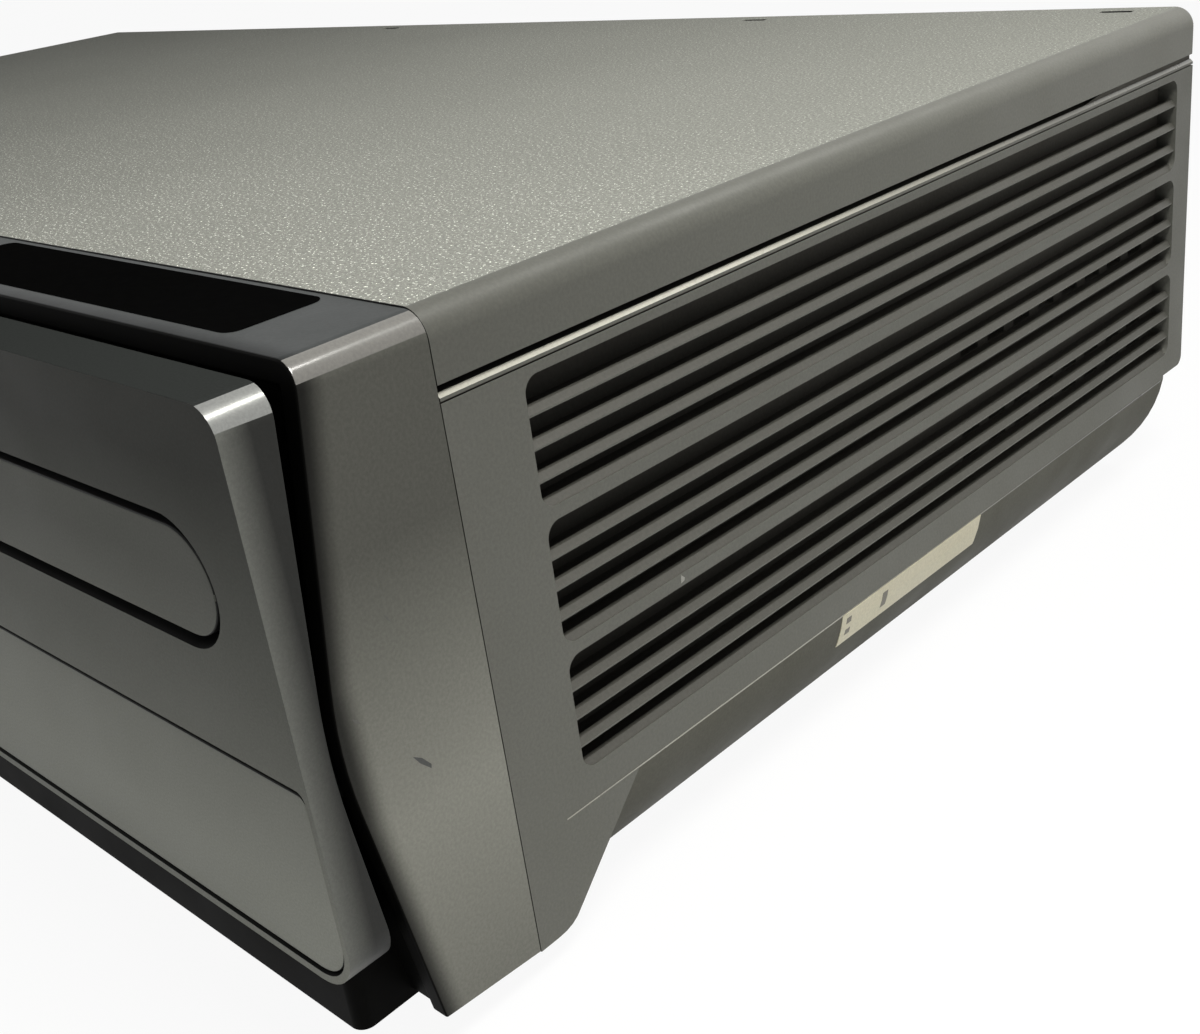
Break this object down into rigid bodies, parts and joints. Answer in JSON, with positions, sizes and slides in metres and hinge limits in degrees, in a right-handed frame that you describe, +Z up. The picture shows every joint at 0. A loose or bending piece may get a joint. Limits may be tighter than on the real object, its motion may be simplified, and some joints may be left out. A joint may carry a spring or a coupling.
{
  "type": "dvd player and video cassette recorder",
  "caption": "Full-width grey disc player and tape recorder: stepped front with tray and cassette flap, louvred sides, inner tape deck and disc loader.",
  "frame": {"origin": "centre of the footprint, in the plane of the feet's soles", "axes": "+Z up, -Y out of the front, +X to the right as seen from the front"},
  "size_m": [0.435, 0.2364, 0.0995],
  "materials": {
    "cabinet_grey": "fine matte texture",
    "cover_grey": "fine matte texture",
    "fascia_grey": "silky paint",
    "trim_grey": "silky paint",
    "frame_black": "polished",
    "window_smoke": "polished",
    "tube_glass": "polished",
    "key_grey": "satin",
    "foot_rubber": "matt",
    "plated_steel": "plain",
    "plated_brass": "bright",
    "insert_yellow": "moulded",
    "insert_white": "moulded",
    "insert_red": "moulded",
    "block_black": "moulded",
    "board_green": "solder mask",
    "board_tan": "plain laminate",
    "transformer_core": "varnished",
    "alloy": "turned",
    "bright_steel": "ground",
    "roller_rubber": "ground",
    "acetal_white": "moulded",
    "head_metal": "lapped",
    "loader_black": "moulded",
    "pickup_body": "cast"
  },
  "bodies": {
    "case": {"front_frame": "cabinet_grey", "inner_frame": "frame_black", "fascia": "fascia_grey", "trim_panel": "trim_grey", "display_window": "window_smoke", "display_tube": "tube_glass", "top_cover": "cover_grey", "lower_cabinet": "cabinet_grey", "rear_panel": "plated_steel", "feet": "foot_rubber", "case_screws": "plated_steel", "front_jack_block": "block_black", "rear_jack_block": "block_black", "jack_sleeves": "plated_brass", "video_inserts": "insert_yellow", "left_audio_inserts": "insert_white", "right_audio_inserts": "insert_red", "tuner_can": "plated_steel", "aerial_sockets": "plated_brass", "cord_gland": "foot_rubber", "main_board": "board_green", "front_board": "board_green", "power_board": "board_tan", "transformer": "transformer_core", "heatsink": "alloy", "deck_plate": "plated_steel", "carriage_frame": "plated_steel", "drum_base": "alloy", "tape_heads": "head_metal", "loader_base": "loader_black", "clamp_bridge": "plated_steel"},
    "flap": {"cassette_flap": "trim_grey"},
    "tray": {"disc_tray": "loader_black", "tray_front": "trim_grey"},
    "pinion": {"tray_pinion": "acetal_white"},
    "power_key": {"power_button": "key_grey"},
    "rewind_key": {"rewind_button": "key_grey"},
    "tape_play_key": {"tape_play_button": "key_grey"},
    "forward_key": {"forward_button": "key_grey"},
    "tape_stop_key": {"tape_stop_button": "key_grey"},
    "record_key": {"record_button": "key_grey"},
    "channel_up_key": {"channel_up_button": "key_grey"},
    "channel_down_key": {"channel_down_button": "key_grey"},
    "disc_play_key": {"disc_play_button": "key_grey"},
    "disc_stop_key": {"disc_stop_button": "key_grey"},
    "open_close_key": {"open_close_button": "key_grey"},
    "holder": {"cassette_holder": "plated_steel"},
    "drum": {"head_drum": "alloy"},
    "capstan_rotor": {"capstan": "bright_steel"},
    "roller": {"pinch_roller": "roller_rubber"},
    "supply_table": {"supply_reel": "acetal_white"},
    "takeup_table": {"takeup_reel": "acetal_white"},
    "traverse": {"traverse_plate": "plated_steel", "spindle_motor": "alloy", "guide_rods": "bright_steel"},
    "disc_table": {"turntable": "loader_black"},
    "sled": {"pickup_sled": "pickup_body"},
    "sled_gear": {"feed_gear": "acetal_white"},
    "clamp": {"disc_clamp": "acetal_white"}
  },
  "joints": [
    {"name": "tray_slide", "type": "slide", "parent": "case", "child": "tray", "axis": [0, -1, 0], "range_m": [0, 0.13]},
    {"name": "pinion_spin", "type": "hinge", "parent": "case", "child": "pinion", "pos_m": [0.084, -0.09405, 0.066], "axis": [0, 0, 1], "range_deg": [0, 832]},
    {"name": "flap_hinge", "type": "hinge", "parent": "case", "child": "flap", "pos_m": [-0.104, -0.112, 0.0912], "axis": [1, 0, 0], "range_deg": [0, 90], "stiffness_Nm_per_rad": 0.01, "springref_deg": -17.19},
    {"name": "power_press", "type": "slide", "parent": "case", "child": "power_key", "axis": [0, 1, 0], "range_m": [0, 0.0008], "stiffness_N_per_m": 300},
    {"name": "rewind_press", "type": "slide", "parent": "case", "child": "rewind_key", "axis": [0, 1, 0], "range_m": [0, 0.0008], "stiffness_N_per_m": 300},
    {"name": "tape_play_press", "type": "slide", "parent": "case", "child": "tape_play_key", "axis": [0, 1, 0], "range_m": [0, 0.0008], "stiffness_N_per_m": 300},
    {"name": "forward_press", "type": "slide", "parent": "case", "child": "forward_key", "axis": [0, 1, 0], "range_m": [0, 0.0008], "stiffness_N_per_m": 300},
    {"name": "tape_stop_press", "type": "slide", "parent": "case", "child": "tape_stop_key", "axis": [0, 1, 0], "range_m": [0, 0.0008], "stiffness_N_per_m": 300},
    {"name": "record_press", "type": "slide", "parent": "case", "child": "record_key", "axis": [0, 1, 0], "range_m": [0, 0.0008], "stiffness_N_per_m": 300},
    {"name": "channel_up_press", "type": "slide", "parent": "case", "child": "channel_up_key", "axis": [0, 1, 0], "range_m": [0, 0.0008], "stiffness_N_per_m": 300},
    {"name": "channel_down_press", "type": "slide", "parent": "case", "child": "channel_down_key", "axis": [0, 1, 0], "range_m": [0, 0.0008], "stiffness_N_per_m": 300},
    {"name": "disc_play_press", "type": "slide", "parent": "case", "child": "disc_play_key", "axis": [0, 1, 0], "range_m": [0, 0.0008], "stiffness_N_per_m": 300},
    {"name": "disc_stop_press", "type": "slide", "parent": "case", "child": "disc_stop_key", "axis": [0, 1, 0], "range_m": [0, 0.0008], "stiffness_N_per_m": 300},
    {"name": "open_close_press", "type": "slide", "parent": "case", "child": "open_close_key", "axis": [0, 1, 0], "range_m": [0, 0.0008], "stiffness_N_per_m": 300},
    {"name": "holder_slide", "type": "slide", "parent": "case", "child": "holder", "axis": [0, 1, 0], "range_m": [0, 0.055]},
    {"name": "drum_spin", "type": "hinge", "parent": "case", "child": "drum", "pos_m": [-0.104, 0.0745, 0.0382], "axis": [0, -0.0872, 0.9962], "continuous": true},
    {"name": "capstan_spin", "type": "hinge", "parent": "case", "child": "capstan_rotor", "pos_m": [-0.044, 0.0455, 0.04], "axis": [0, 0, 1], "continuous": true},
    {"name": "roller_spin", "type": "hinge", "parent": "case", "child": "roller", "pos_m": [-0.056, 0.0565, 0.053], "axis": [0, 0, 1], "continuous": true},
    {"name": "supply_spin", "type": "hinge", "parent": "case", "child": "supply_table", "pos_m": [-0.15, -0.0195, 0.04], "axis": [0, 0, 1], "continuous": true},
    {"name": "takeup_spin", "type": "hinge", "parent": "case", "child": "takeup_table", "pos_m": [-0.058, -0.0195, 0.04], "axis": [0, 0, 1], "continuous": true},
    {"name": "traverse_tilt", "type": "hinge", "parent": "case", "child": "traverse", "pos_m": [0.1335, 0.0385, 0.06075], "axis": [1, 0, 0], "range_deg": [0, 5]},
    {"name": "disc_spin", "type": "hinge", "parent": "traverse", "child": "disc_table", "pos_m": [0.1335, -0.0475, 0.07], "axis": [0, 0, 1], "continuous": true},
    {"name": "clamp_spin", "type": "hinge", "parent": "case", "child": "clamp", "pos_m": [0.1335, -0.0475, 0.08], "axis": [0, 0, 1], "continuous": true},
    {"name": "sled_slide", "type": "slide", "parent": "traverse", "child": "sled", "axis": [0, 1, 0], "range_m": [0, 0.034]},
    {"name": "feed_spin", "type": "hinge", "parent": "traverse", "child": "sled_gear", "pos_m": [0.1697, -0.0085, 0.0635], "axis": [0, 0, 1], "range_deg": [-328, 0]}
  ],
  "couplings": [
    {"joint": "pinion_spin", "follows": "tray_slide", "rad_per_m": 111.11},
    {"joint": "clamp_spin", "follows": "disc_spin", "ratio": 1},
    {"joint": "feed_spin", "follows": "sled_slide", "rad_per_m": -166.67}
  ]
}
